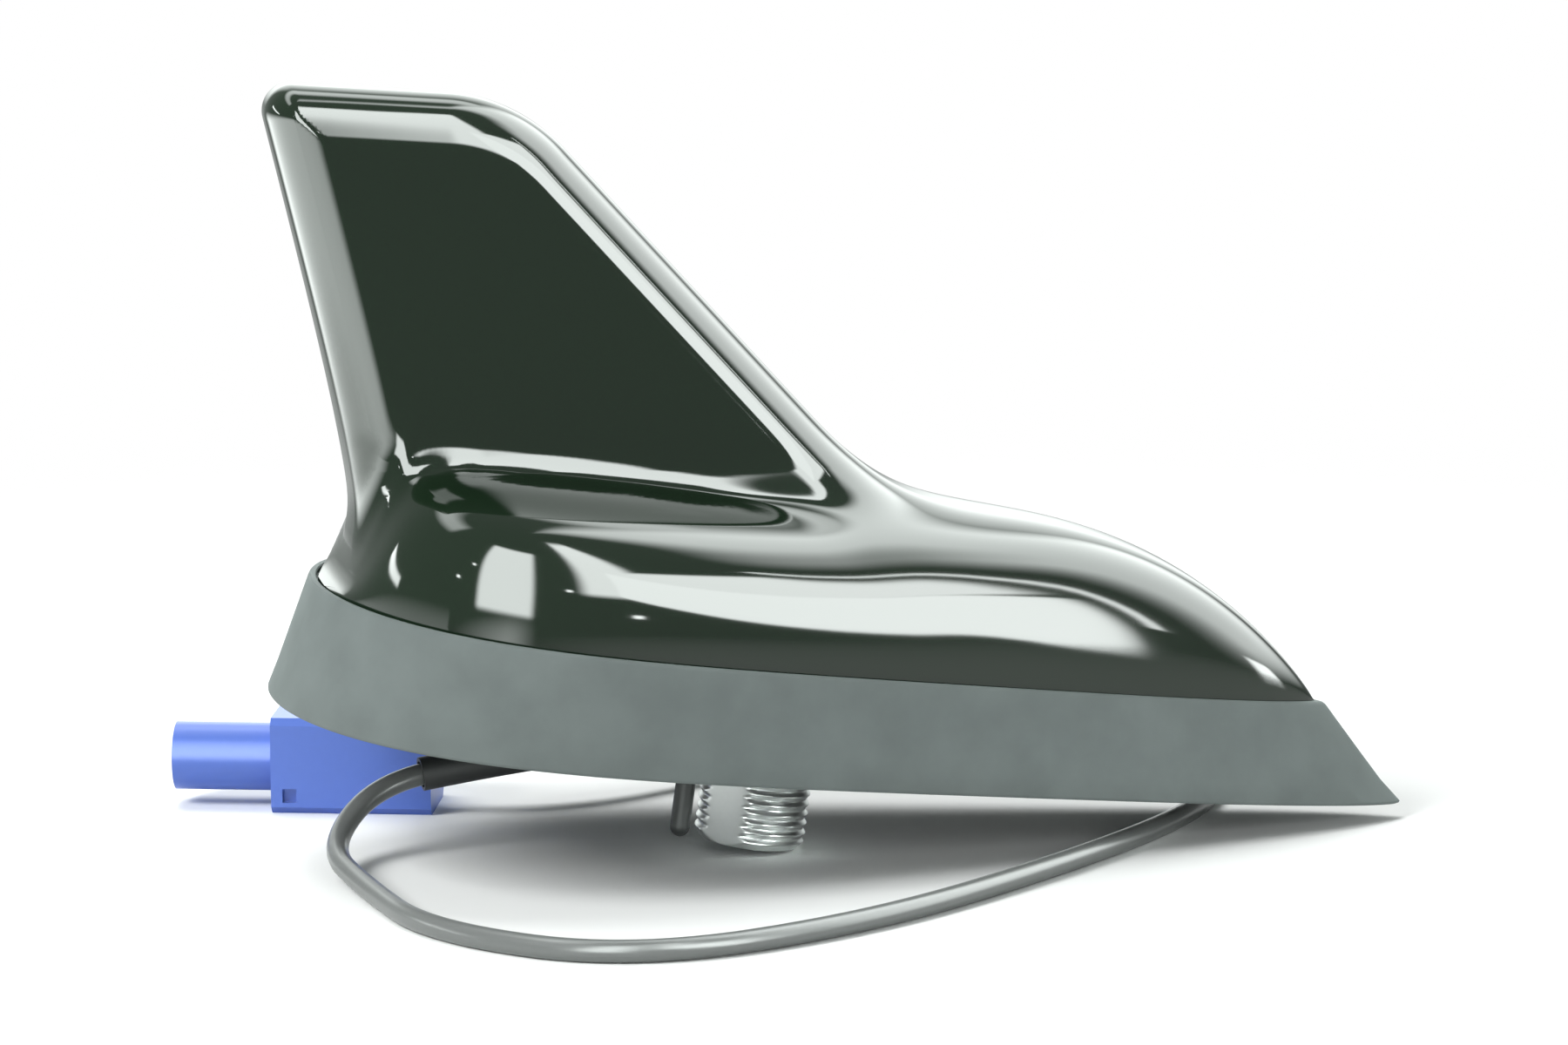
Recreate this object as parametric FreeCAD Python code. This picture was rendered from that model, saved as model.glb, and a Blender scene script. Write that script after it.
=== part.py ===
import FreeCAD, Part
import math
import os

# Roof antenna with a hollow fin cover, rubber gasket, moulded base, stud and one coded coax lead.
# Frame: the stud's axis is Z, the gasket's underside is Z = 0, the nose points to +X.

V = FreeCAD.Vector
UP = V(0, 0, 1)
os.makedirs("parts", exist_ok=True)

# Clearances
gap = 0.3
seat_depth = 0.7

# Gasket outline and height
gasket_rear = -62.7
gasket_nose = 84.1
gasket_half_width = 31.9
gasket_rear_lean = 3.4
gasket_nose_lean = 12.0
gasket_side_lean = 1.0
gasket_top_rear = 15.3
gasket_top_slope = -0.0215
skirt_width = 5.0
flange_bottom = 8.0
flange_width = 3.6
lip_groove_width = 1.4
lip_groove_depth = 1.6

# Teardrop plan shared by gasket, cover rim and base: width grows as a root at the rear
plan_coefs = (3.3616, -3.8825, 1.8415, 0.3164)
plan_nose_power = 0.8

# Cover dome
cover_wall = 2.2
rim_inset = 1.2
dome_power = 3.0
crest_coefs = (194.8, -608.9, 919.5, -403.9)
crest_nose_power = 0.9
crest_height = 18.8
crest_shoulder = 0.24
crest_soft = 0.06
crest_flare = 4.5
nose_share = 1.8

# Fin
fin_top = 77.5
fin_top_x = -49.4
fin_top_slope = 0.055
fin_lead_x = -31.5
fin_lead_z = 69.4
fin_lead_angle = 40.2
fin_trail_x = -52.0
fin_trail_z = 22.0
fin_trail_slope = 0.4
fin_trail_bow = 14.0
fin_half_low = 9.3
fin_half_high = 7.4
fin_edge_radius = 6.6
fin_front_corner = 22.0
fin_rear_corner = 3.5
fillet_side = 6.0
fillet_front = 13.0
fillet_rear = 8.0
fillet_low = 0.5
fillet_fade = 6.0

# Base moulding
base_bottom = 1.0
base_floor = 2.5
base_wall = 2.4
pin_x = -11.0
pin_y = -10.0
pin_radius = 1.25
pin_foot = -9.5

# Stud
stud_radius = 7.0
stud_foot = -12.5
stud_thread_top = 0.3
stud_neck_radius = 6.2
stud_chamfer = 0.9
stud_flat = 6.1
stud_flat_angle = 225.0
stud_hex = 18.0
stud_hex_height = 2.0
stud_hex_sink = 1.0

# Cover screws
cover_screw_spots = ((-40.0, 15.0), (-40.0, -15.0), (-2.0, 18.0), (-2.0, -18.0), (54.0, 0.0))
screw_core_radius = 1.2
screw_length = 13.0
screw_head_radius = 2.6
screw_head_height = 1.8
screw_drive = 1.1
boss_radius = 3.2

# Circuit board and what it carries
board_bottom = 9.0
board_thickness = 1.6
board_rear = -33.0
board_shoulder = 20.0
board_front = 36.0
board_half = 13.4
board_half_front = 9.4
board_screw_spots = ((-29.0, 9.0), (-29.0, -9.0), (30.0, 0.0))
board_screw_radius = 1.0
board_screw_head = 2.1
board_screw_head_height = 1.5
board_post_radius = 2.6
patch_x = 7.5
patch_side = 25.0
patch_height = 4.0
patch_tape = 0.8
patch_metal_side = 20.0
patch_metal = 0.2
feed_radius = 0.5
feed_head_radius = 1.1
feed_head_height = 0.6
feed_offset = 2.2
can_rear = -24.0
can_front = -8.0
can_half = 10.0
can_height = 3.2
can_wall = 0.5

# Lead, sleeve and grommet
lead_radius = 1.4
sleeve_radius = 2.15
exit_x = -19.5
exit_y = 8.0
exit_z = -3.55
exit_angle = 40.0
grommet_radius = 3.2
grommet_from = 6.4
grommet_to = 12.5
tail_height = 7.3
tail_end = 8.0
terminal_length = 4.0
terminal_half = 2.2

# Surface the loose lead lies on, under the stud's foot and the nose
table_angle = 8.0

# Connector
plug_rear = (-34.7, 31.6)
plug_turn = 164.6
plug_side = 12.5
plug_body = 20.8
plug_length = 34.0
plug_edge = 0.9
barrel_radius = 4.4
barrel_bore = 3.45
barrel_depth = 12.6
shell_radius = 3.0
shell_wall = 0.5
shell_reach = 30.0
contact_radius = 0.5
contact_reach = 29.0
ferrule_radius = 2.4
ferrule_out = 2.0
ferrule_in = 6.0
key_width = 1.3
key_depth = 0.5
key_from = 26.0
key_to = 30.5
notch_side = 1.8
notch_depth = 1.0

# Values that follow from the ones above
rim_rear = gasket_rear + gasket_rear_lean + rim_inset
rim_nose = gasket_nose - gasket_nose_lean - rim_inset
rim_half_width = gasket_half_width - gasket_side_lean - rim_inset
base_inset = skirt_width + gap
floor_top = base_bottom + base_floor
board_top = board_bottom + board_thickness
table_slope = math.tan(math.radians(table_angle))


def save(shape, name):
    """Write one piece to its own file."""
    shape.exportStep("parts/" + name + ".step")


def plan(s):
    """Half width of the teardrop at s, 0 at the rear end to 1 at the nose, largest about 1."""
    s = min(max(s, 0.0), 1.0)
    a, b, c, d = plan_coefs
    return math.sqrt(s) * (1 - s) ** plan_nose_power * (a + b * s + c * s * s + d * s ** 3)


def gasket_top(x):
    """Height of the gasket's top edge."""
    return gasket_top_rear + gasket_top_slope * (x - gasket_rear)


def seat(x):
    """Height of the seat in the gasket that carries the cover's rim."""
    return gasket_top(x) - seat_depth


def outline(x_rear, x_nose, half, height, count=26):
    """Closed teardrop wire with its height given as a function of x."""
    side = []
    for i in range(count):
        s = (1 - math.cos(math.pi * i / (count - 1))) / 2
        x = x_rear + s * (x_nose - x_rear)
        side.append(V(x, half * plan(s), height(x)))
    back = [V(p.x, -p.y, p.z) for p in side[-2:0:-1]]
    curve = Part.BSplineCurve()
    curve.interpolate(side + back, PeriodicFlag=True)
    return Part.Wire(curve.toShape())


def level(z):
    """A constant height, for outlines that lie flat."""
    return lambda x: z


def prism(x_rear, x_nose, half, z_low, z_high):
    """Upright solid on the teardrop plan."""
    face = Part.Face(outline(x_rear, x_nose, half, level(z_low)))
    return face.extrude(V(0, 0, z_high - z_low))


def cylinder(radius, x, y, z_low, z_high):
    """Upright cylinder between two heights."""
    return Part.makeCylinder(radius, z_high - z_low, V(x, y, z_low), UP)


def block(x0, x1, y0, y1, z0, z1):
    """Box between two corners."""
    return Part.makeBox(x1 - x0, y1 - y0, z1 - z0, V(x0, y0, z0))


def hexagon(across, z_low, z_high):
    """Upright hexagonal prism on the stud's axis."""
    radius = across / math.sqrt(3)
    corners = []
    for i in range(7):
        angle = math.radians(60 * i)
        corners.append(V(radius * math.cos(angle), radius * math.sin(angle), z_low))
    return Part.Face(Part.makePolygon(corners)).extrude(V(0, 0, z_high - z_low))


# Cover skin as a smooth union of dome and fin

def dome_share(x, depth):
    """Place along the dome, 0 at its rear end to 1 at its nose."""
    rear = rim_rear + depth
    nose = rim_nose - nose_share * depth
    return min(max((x - rear) / (nose - rear), 0.001), 0.999)


def dome_crest(x, depth):
    """Height of the dome's crest over the gasket's top: a short flare at the rear, then a long back."""
    off = dome_share(x, depth) - crest_shoulder
    s = min(crest_shoulder + (off + math.hypot(off, crest_soft)) / 2, 0.999)
    a, b, c, d = crest_coefs
    back = s * (1 - s) ** crest_nose_power * (a + b * s + c * s * s + d * s ** 3)
    flare = (max(x - rim_rear - depth, 0.1) / crest_flare) ** 3
    return back * flare / (1 + flare) * (1 - depth / crest_height)


def dome_level(x, y, z, depth):
    """1 on the dome, or on its copy at a depth, and less inside."""
    half = (rim_half_width - depth) * plan(dome_share(x, depth))
    rise = max(z - gasket_top(x), 0.0) / dome_crest(x, depth)
    return (abs(y / half) ** dome_power + rise ** dome_power) ** (1 / dome_power)


def dome_gap(x, y, z, depth):
    """Distance to the dome, close to the surface."""
    e = 0.02
    value = dome_level(x, y, z, depth)
    gx = (dome_level(x + e, y, z, depth) - dome_level(x - e, y, z, depth)) / (2 * e)
    gy = (dome_level(x, y + e, z, depth) - dome_level(x, y - e, z, depth)) / (2 * e)
    gz = (dome_level(x, y, z + e, depth) - dome_level(x, y, z - e, depth)) / (2 * e)
    reach = (value - 1) / max(math.sqrt(gx * gx + gy * gy + gz * gz), 0.02)
    above = 0.6 * (z - gasket_top(x) - dome_crest(x, depth))
    beyond = max(rim_rear + depth - x, x - rim_nose + nose_share * depth)
    return max(reach, above, beyond) if beyond > 0 else max(reach, above)


def corner(a, b, radius, turn):
    """Distance to a corner of two edges with a round of the given radius; turn is between normals."""
    u = a + radius
    v = b + radius
    if u > v * math.cos(turn) and v > u * math.cos(turn):
        return math.sqrt(u * u + v * v - 2 * u * v * math.cos(turn)) / math.sin(turn) - radius
    return max(a, b)


def fin_trail(z):
    """X of the fin's trailing edge: upright at its foot, then leaning back."""
    rise = z - fin_trail_z
    return fin_trail_x - fin_trail_slope * (math.hypot(rise, fin_trail_bow) + rise) / 2


def fin_lead(z):
    """X of the fin's leading edge."""
    return fin_lead_x + (fin_lead_z - z) / math.tan(math.radians(fin_lead_angle))


def fin_gap(x, y, z):
    """Distance to the fin, a slab with rounded edges that thins towards its top."""
    angle = math.radians(fin_lead_angle)
    top_angle = math.atan(fin_top_slope)
    top = (z - fin_top - fin_top_slope * (x - fin_top_x)) * math.cos(top_angle)
    lead = (x - fin_lead(z)) * math.sin(angle)
    rise = z - fin_trail_z
    lean = math.atan(fin_trail_slope * (rise / math.hypot(rise, fin_trail_bow) + 1) / 2)
    trail = (fin_trail(z) - x) * math.cos(lean)
    edge = corner(top, lead, fin_front_corner, angle + top_angle)
    edge = corner(edge, trail, fin_rear_corner, math.pi / 2 + lean - top_angle)
    share = min(max((z - 35.0) / 40.0, 0.0), 1.0)
    half = fin_half_low + (fin_half_high - fin_half_low) * share
    u = edge + fin_edge_radius
    v = abs(y) - (half - fin_edge_radius)
    return math.hypot(max(u, 0.0), max(v, 0.0)) + min(max(u, v), 0.0) - fin_edge_radius


def skin_gap(x, y, z, depth):
    """Distance to the cover's skin, or to its copy at a depth; negative inside."""
    a = dome_gap(x, y, z, depth)
    b = fin_gap(x, y, z) + depth
    share = min(max((x + 14.0) / 22.0, 0.0), 1.0)
    share = share * share * (3 - 2 * share)
    rear = min(max((-42.0 - x) / 8.0, 0.0), 1.0)
    reach = fillet_side + (fillet_front - fillet_side) * share + (fillet_rear - fillet_side) * rear
    fade = min(max((z - gasket_top(x) - fillet_low) / fillet_fade, 0.0), 1.0)
    blend = max(reach - abs(a - b), 0.0) / reach
    return min(a, b) - fade * blend ** 3 * reach / 6


def find_edge(inside, outside, depth, point):
    """Where the skin lies between a value inside it and one outside it."""
    for _ in range(34):
        middle = (inside + outside) / 2
        x, y, z = point(middle)
        if skin_gap(x, y, z, depth) < 0:
            inside = middle
        else:
            outside = middle
    return (inside + outside) / 2


def ring(z_axis, slope, depth, count=20):
    """Closed wire round the cover in a plane that slopes along X."""
    def on_plane(x):
        return (x, 0.0, z_axis + slope * x)

    middle = -25.0
    if on_plane(middle)[2] > 38.0:
        middle = -25.0 - 0.8 * (on_plane(middle)[2] - 38.0)
    x_rear = find_edge(middle, gasket_rear - 20.0, depth, on_plane)
    steps = [middle + i for i in range(120)]
    outside = [x for x in steps if skin_gap(*on_plane(x), depth) > 0]
    x_front = find_edge(outside[0] - 1.0, outside[0], depth, on_plane)
    side = [V(*on_plane(x_rear))]
    for i in range(1, count - 1):
        x = x_rear + (x_front - x_rear) * (1 - math.cos(math.pi * i / (count - 1))) / 2
        z = on_plane(x)[2]
        y = find_edge(0.0, 45.0, depth, lambda across: (x, across, z))
        side.append(V(x, y, z))
    side.append(V(*on_plane(x_front)))
    back = [V(p.x, -p.y, p.z) for p in side[-2:0:-1]]
    curve = Part.BSplineCurve()
    curve.interpolate(side + back, PeriodicFlag=True)
    return Part.Wire(curve.toShape())


def ring_slope(z):
    """Slope of the ring planes: along the rim at first, up to the fin's foot line, then the top."""
    low = min(max((z - 14.0) / 13.0, 0.0), 1.0)
    slope = gasket_top_slope + (0.11 - gasket_top_slope) * low * low * (3 - 2 * low)
    high = min(max((z - 66.0) / 12.0, 0.0), 1.0)
    return slope + (fin_top_slope - 0.11) * high


def cover_body(depth, foot):
    """Solid under the skin, or under a deeper copy of it, from the rim up."""
    top_axis = fin_top - fin_top_slope * fin_top_x - depth
    rim_axis = seat(0.0)
    heights = [rim_axis + foot]
    heights += [16.2, 18.6, 21.0, 23.4, 25.6, 27.4, 28.9, 30.4, 32.0, 34.0, 36.6]
    heights += [40.0, 46.0, 54.0, 62.0, 68.0, 72.0]
    heights += [top_axis - drop for drop in (5.2, 3.0, 1.5, 0.6, 0.15)]
    wires = [ring(heights[0], gasket_top_slope, depth)]
    wires += [ring(z, ring_slope(z), depth) for z in heights[1:]]
    return Part.makeLoft(wires, True, True)


# Cover: skin, cavity and screw bosses

cover_outer = cover_body(0.0, 0.0)
cover_inner = cover_body(cover_wall, -2.0)
bosses = []
boss_holes = []
for x, y in cover_screw_spots:
    bosses.append(cylinder(boss_radius, x, y, flange_bottom, 34.0))
    boss_holes.append(cylinder(screw_core_radius + gap, x, y, flange_bottom - 1, flange_bottom + 11.0))
cover = cover_outer.cut(cover_inner)
for boss, (x, y) in zip(bosses, cover_screw_spots):
    cover = cover.fuse([boss.common(cover_outer), cylinder(boss_radius, x, y, flange_bottom, 17.0)])
cover = cover.cut(boss_holes)
save(cover, "fin_cover")

# Gasket: leaning skirt, inner flange, seat for the cover and a groove between two sealing lips
gasket_foot = outline(gasket_rear, gasket_nose, gasket_half_width, level(0.0))
gasket_head = outline(gasket_rear + gasket_rear_lean, gasket_nose - gasket_nose_lean,
                      gasket_half_width - gasket_side_lean, gasket_top)
gasket = Part.makeLoft([gasket_foot, gasket_head], True, True)
seat_low = outline(rim_rear - gap, rim_nose + gap, rim_half_width + gap, seat)
seat_high = outline(rim_rear - gap, rim_nose + gap, rim_half_width + gap, lambda x: seat(x) + 3)
seat_pocket = Part.makeLoft([seat_low, seat_high], True, True)
cavity = prism(gasket_rear + skirt_width, gasket_nose - 2.6 * skirt_width,
               gasket_half_width - skirt_width, -1.0, flange_bottom)
window = prism(rim_rear + flange_width, rim_nose - 2 * flange_width, rim_half_width - flange_width,
               flange_bottom - 1, 20.0)
groove_in = 1.5
groove_outer = prism(gasket_rear + groove_in, gasket_nose - 2.6 * groove_in, gasket_half_width - groove_in,
                     -1.0, lip_groove_depth)
groove_out = groove_in + lip_groove_width
groove_inner = prism(gasket_rear + groove_out, gasket_nose - 2.6 * groove_out,
                     gasket_half_width - groove_out, -1.0, lip_groove_depth)
gasket = gasket.cut([seat_pocket, cavity, window, groove_outer.cut(groove_inner)])
save(gasket, "gasket")

# Stud with hexagonal head, a neck under it and one milled flat
stud = cylinder(stud_radius, 0, 0, stud_foot, stud_thread_top)
rim_edges = []
for edge in stud.Edges:
    if abs(edge.BoundBox.ZMax - stud_foot) < 0.01:
        rim_edges.append(edge)
stud = stud.makeChamfer(stud_chamfer, rim_edges)
flat_cut = block(stud_flat, 10, -10, 10, stud_foot - 1, stud_thread_top - 0.9)
flat_cut.rotate(V(0, 0, 0), UP, stud_flat_angle)
stud_head = hexagon(stud_hex, floor_top - stud_hex_sink, floor_top - stud_hex_sink + stud_hex_height)
stud_neck = cylinder(stud_neck_radius, 0, 0, stud_thread_top, floor_top)
stud = stud.cut(flat_cut).fuse([stud_neck, stud_head]).removeSplitter()
save(stud, "roof_stud")

# Exit line of the lead through the base floor
exit_point = V(exit_x, exit_y, exit_z)
exit_turn = math.radians(exit_angle)
exit_line = V(math.cos(exit_turn), 0, math.sin(exit_turn))
grommet_low = exit_point + exit_line * grommet_from
grommet_high = exit_point + exit_line * grommet_to


def tube(radius, start, end):
    """Round bar between two points."""
    return Part.makeCylinder(radius, (end - start).Length, start, end - start)


# Base moulding: floor and wall, screw pillars, board posts, locating pin
base_rear = gasket_rear + base_inset
base_nose = gasket_nose - 2.6 * skirt_width - gap
base_half = gasket_half_width - base_inset
base = prism(base_rear, base_nose, base_half, base_bottom, flange_bottom)
tray = prism(base_rear + base_wall, base_nose - 2 * base_wall, base_half - base_wall, floor_top, 20.0)
base = base.cut(tray)
pillars = []
pillar_holes = []
for x, y in cover_screw_spots:
    pillars.append(cylinder(boss_radius, x, y, base_bottom, flange_bottom))
    pillar_holes.append(cylinder(screw_core_radius + gap, x, y, 0.0, 20.0))
    pillar_holes.append(cylinder(screw_head_radius + gap, x, y, 0.0, base_bottom + screw_head_height))
for x, y in board_screw_spots:
    pillars.append(cylinder(board_post_radius, x, y, base_bottom, board_bottom))
    pillar_holes.append(cylinder(board_screw_radius + gap, x, y, floor_top, 20.0))
locating_pin = cylinder(pin_radius, pin_x, pin_y, pin_foot, floor_top)
locating_pin = locating_pin.fuse(Part.makeSphere(pin_radius, V(pin_x, pin_y, pin_foot)))
pillars.append(locating_pin)
base = base.fuse(pillars)
stud_hole = cylinder(stud_neck_radius + gap, 0, 0, 0.0, 20.0)
stud_pocket = hexagon(stud_hex + gap, floor_top - stud_hex_sink, 20.0)
grommet_hole = tube(grommet_radius + gap, exit_point, exit_point + exit_line * 20.0)
base = base.cut(pillar_holes + [stud_hole, stud_pocket, grommet_hole])
save(base, "base_plate")

# Cover screws, driven from below
screw_names = ("rear_far", "rear_near", "side_far", "side_near", "nose")
for (x, y), name in zip(cover_screw_spots, screw_names):
    head_top = base_bottom + screw_head_height
    screw = cylinder(screw_head_radius, x, y, base_bottom, head_top)
    screw = screw.fuse(cylinder(screw_core_radius, x, y, base_bottom, head_top + screw_length))
    slot = block(x - screw_drive, x + screw_drive, y - 0.3, y + 0.3, base_bottom - 1, base_bottom + 0.8)
    cross = block(x - 0.3, x + 0.3, y - screw_drive, y + screw_drive, base_bottom - 1, base_bottom + 0.8)
    save(screw.cut([slot, cross]), "cover_screw_" + name)

# Circuit board
board_points = [V(board_rear, -board_half, board_bottom), V(board_shoulder, -board_half, board_bottom),
                V(board_front, -board_half_front, board_bottom), V(board_front, board_half_front, board_bottom),
                V(board_shoulder, board_half, board_bottom), V(board_rear, board_half, board_bottom)]
board = Part.Face(Part.makePolygon(board_points + board_points[:1])).extrude(V(0, 0, board_thickness))
feed_x = patch_x + feed_offset
board_holes = [cylinder(feed_radius + gap, feed_x, 0, 0, 20)]
for x, y in board_screw_spots:
    board_holes.append(cylinder(board_screw_radius + gap, x, y, 0, 20))
save(board.cut(board_holes), "circuit_board")

# Board screws
for (x, y), name in zip(board_screw_spots, ("rear_far", "rear_near", "front")):
    screw = cylinder(board_screw_radius, x, y, board_bottom - 4.0, board_top + board_screw_head_height)
    screw = screw.fuse(cylinder(board_screw_head, x, y, board_top, board_top + board_screw_head_height))
    slot = block(x - 1.2, x + 1.2, y - 0.3, y + 0.3, board_top + 0.8, board_top + 3)
    save(screw.cut(slot), "board_screw_" + name)

# Patch antenna: tape, ceramic block, silvered top and feed pin
half = patch_side / 2
tape_top = board_top + patch_tape
patch_top = tape_top + patch_height
feed_hole = cylinder(feed_radius + gap, feed_x, 0, 0, 30)
tape = block(patch_x - half, patch_x + half, -half, half, board_top, tape_top)
save(tape.cut(feed_hole), "patch_tape")
ceramic = block(patch_x - half, patch_x + half, -half, half, tape_top, patch_top)
ceramic = ceramic.makeChamfer(0.6, [e for e in ceramic.Edges if e.BoundBox.ZLength > 1])
save(ceramic.cut(feed_hole), "patch_ceramic")
half = patch_metal_side / 2
metal_top = patch_top + patch_metal
metal = block(patch_x - half, patch_x + half, -half, half, patch_top, metal_top)
save(metal.cut(feed_hole), "patch_electrode")
feed = cylinder(feed_radius, feed_x, 0, board_bottom - 1.0, metal_top + feed_head_height)
feed = feed.fuse(cylinder(feed_head_radius, feed_x, 0, metal_top, metal_top + feed_head_height))
save(feed, "patch_feed_pin")

# Shield can over the amplifier
can = block(can_rear, can_front, -can_half, can_half, board_top, board_top + can_height)
can_room = block(can_rear + can_wall, can_front - can_wall, -can_half + can_wall, can_half - can_wall,
                 board_top - 1, board_top + can_height - can_wall)
save(can.cut(can_room), "shield_can")


# Lead: straight runs joined by tangent arcs

def route(points):
    """Wire of straight runs with an arc at each corner; also returns the arc radii."""
    edges = []
    radii = []
    start = points[0]
    for i in range(1, len(points) - 1):
        back = points[i - 1] - points[i]
        ahead = points[i + 1] - points[i]
        run = min(back.Length, ahead.Length)
        back.normalize()
        ahead.normalize()
        turn = math.pi - back.getAngle(ahead)
        reach = 0.45 * run
        radii.append(reach / math.tan(turn / 2))
        first = points[i] + back * reach
        last = points[i] + ahead * reach
        bisector = (back + ahead).normalize()
        off = radii[-1] / math.cos(turn / 2) - radii[-1]
        edges.append(Part.LineSegment(start, first).toShape())
        edges.append(Part.Arc(first, points[i] + bisector * off, last).toShape())
        start = last
    edges.append(Part.LineSegment(start, points[-1]).toShape())
    return Part.Wire(edges), radii


def sweep(wire, radius):
    """Round bar along a wire."""
    start = wire.Edges[0].valueAt(wire.Edges[0].FirstParameter)
    along = wire.Edges[0].tangentAt(wire.Edges[0].FirstParameter)
    section = Part.Wire(Part.makeCircle(radius, start, along))
    return wire.makePipeShell([section], True, False)


def table(x):
    """Height of the surface the loose lead lies on."""
    return stud_foot + table_slope * (x - stud_radius)


def lying(x, y, lift=0.0):
    """Point of the lead's centre line that lies on that surface, or a lift above it."""
    return V(x, y, table(x) + lead_radius / math.cos(math.radians(table_angle)) + lift)


# Connector frame: its axis lies along the surface, its rear end at the given place
plug_up = V(-math.sin(math.radians(table_angle)), 0, math.cos(math.radians(table_angle)))
plug_foot = V(plug_rear[0], plug_rear[1], table(plug_rear[0]))
flat_axis = V(math.cos(math.radians(plug_turn)), math.sin(math.radians(plug_turn)), 0)
plug_axis = (flat_axis - plug_up * flat_axis.dot(plug_up)).normalize()
plug_across = plug_up.cross(plug_axis)
plug_centre = plug_foot + plug_up * (plug_side / 2)
plug_place = FreeCAD.Placement(plug_centre, FreeCAD.Rotation(plug_axis, plug_across, plug_up, "XYZ"))

# Lead from the grommet to the connector
lead_end = plug_centre - plug_axis * ferrule_out
lead_points = [
    grommet_low,
    exit_point,
    V(-33.0, 7.6, -7.0),
    V(-47.0, 6.5, -11.0),
    V(-53.5, -2.0, -18.2),
    lying(-50.5, -18.0),
    lying(-46.0, -42.0),
    lying(-25.0, -60.0),
    lying(6.0, -48.0),
    lying(36.8, -21.3),
    lying(59.0, 3.0),
    lying(68.0, 26.0),
    lying(56.0, 46.0),
    lying(30.0, 50.0),
    lying(6.0, 41.0, 1.5),
    lead_end - plug_axis * 15.0,
    lead_end,
]
lead_wire, lead_radii = route(lead_points)
lead = sweep(lead_wire, lead_radius)
save(lead, "coax_lead")
print("lead radii", [round(r, 1) for r in lead_radii])
print("lead length", round(lead_wire.Length, 1))
print("lead volume share", round(lead.Volume / (math.pi * lead_radius ** 2 * lead_wire.Length), 4))

# Sleeve shrunk on the first stretch of the lead
sleeve_wire = Part.Wire(lead_wire.Edges[2:5])
sleeve_out = sweep(sleeve_wire, sleeve_radius)
sleeve_in = sweep(sleeve_wire, lead_radius + gap)
save(sleeve_out.cut(sleeve_in), "cable_sleeve")

# Grommet in the base floor, with the inner tail of the lead through it
grommet = tube(grommet_radius, grommet_low, grommet_high)
grommet = grommet.cut(tube(lead_radius + gap, grommet_low - exit_line, grommet_high + exit_line))
save(grommet, "cable_grommet")
tail_corner = exit_point + exit_line * ((tail_height - exit_z) / exit_line.z)
tail_wire, tail_radii = route([grommet_low, tail_corner, V(tail_end, exit_y, tail_height)])
save(sweep(tail_wire, lead_radius), "cable_tail")
terminal = block(tail_end, tail_end + terminal_length, exit_y - terminal_half, exit_y + terminal_half,
                 tail_height - terminal_half, board_bottom)
save(terminal, "board_terminal")


# Connector pieces, built along X from the rear end and then put in place

def round_bar(radius, start, end):
    """Bar on the connector's axis."""
    return Part.makeCylinder(radius, end - start, V(start, 0, 0), V(1, 0, 0))


def save_plug(shape, name):
    """Put a connector piece in place and write it."""
    shape.Placement = plug_place.multiply(shape.Placement)
    save(shape, name)


reach = plug_side / 2
shoulder = block(0, plug_body, -reach, reach, -reach, reach)
shoulder = shoulder.makeChamfer(plug_edge, [e for e in shoulder.Edges if e.BoundBox.XLength > 1])
barrel = round_bar(barrel_radius, plug_body - 1.0, plug_length)
housing = shoulder.fuse(barrel).cut(round_bar(barrel_bore, plug_length - barrel_depth, plug_length + 1))
housing = housing.cut(round_bar(shell_radius + gap, ferrule_in, plug_length))
housing = housing.cut(round_bar(ferrule_radius + gap, -1.0, ferrule_in))
for angle in (60.0, 120.0):
    key = block(key_from, key_to, -key_width / 2, key_width / 2, barrel_radius - key_depth, barrel_radius + 1)
    key.rotate(V(0, 0, 0), V(1, 0, 0), angle)
    housing = housing.cut(key)
notch = block(plug_body - notch_side - 1.5, plug_body - 1.5, reach - notch_depth, reach + 1,
              -reach + 1.5, -reach + 1.5 + notch_side)
save_plug(housing.cut(notch), "connector_housing")
shell = round_bar(shell_radius, ferrule_in, shell_reach)
shell = shell.cut(round_bar(shell_radius - shell_wall, ferrule_in + 1.0, shell_reach + 1))
save_plug(shell, "connector_shell")
insulator = round_bar(shell_radius - shell_wall - gap, ferrule_in + 1.0, shell_reach - 6.0)
insulator = insulator.cut(round_bar(contact_radius + gap, ferrule_in + 3.0, shell_reach))
save_plug(insulator, "connector_insulator")
save_plug(round_bar(contact_radius, ferrule_in + 3.0, contact_reach), "connector_pin")
save_plug(round_bar(ferrule_radius, -ferrule_out, ferrule_in), "crimp_ferrule")
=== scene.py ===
import math

import bpy
import numpy as np
from mathutils import Matrix, Vector


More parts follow.
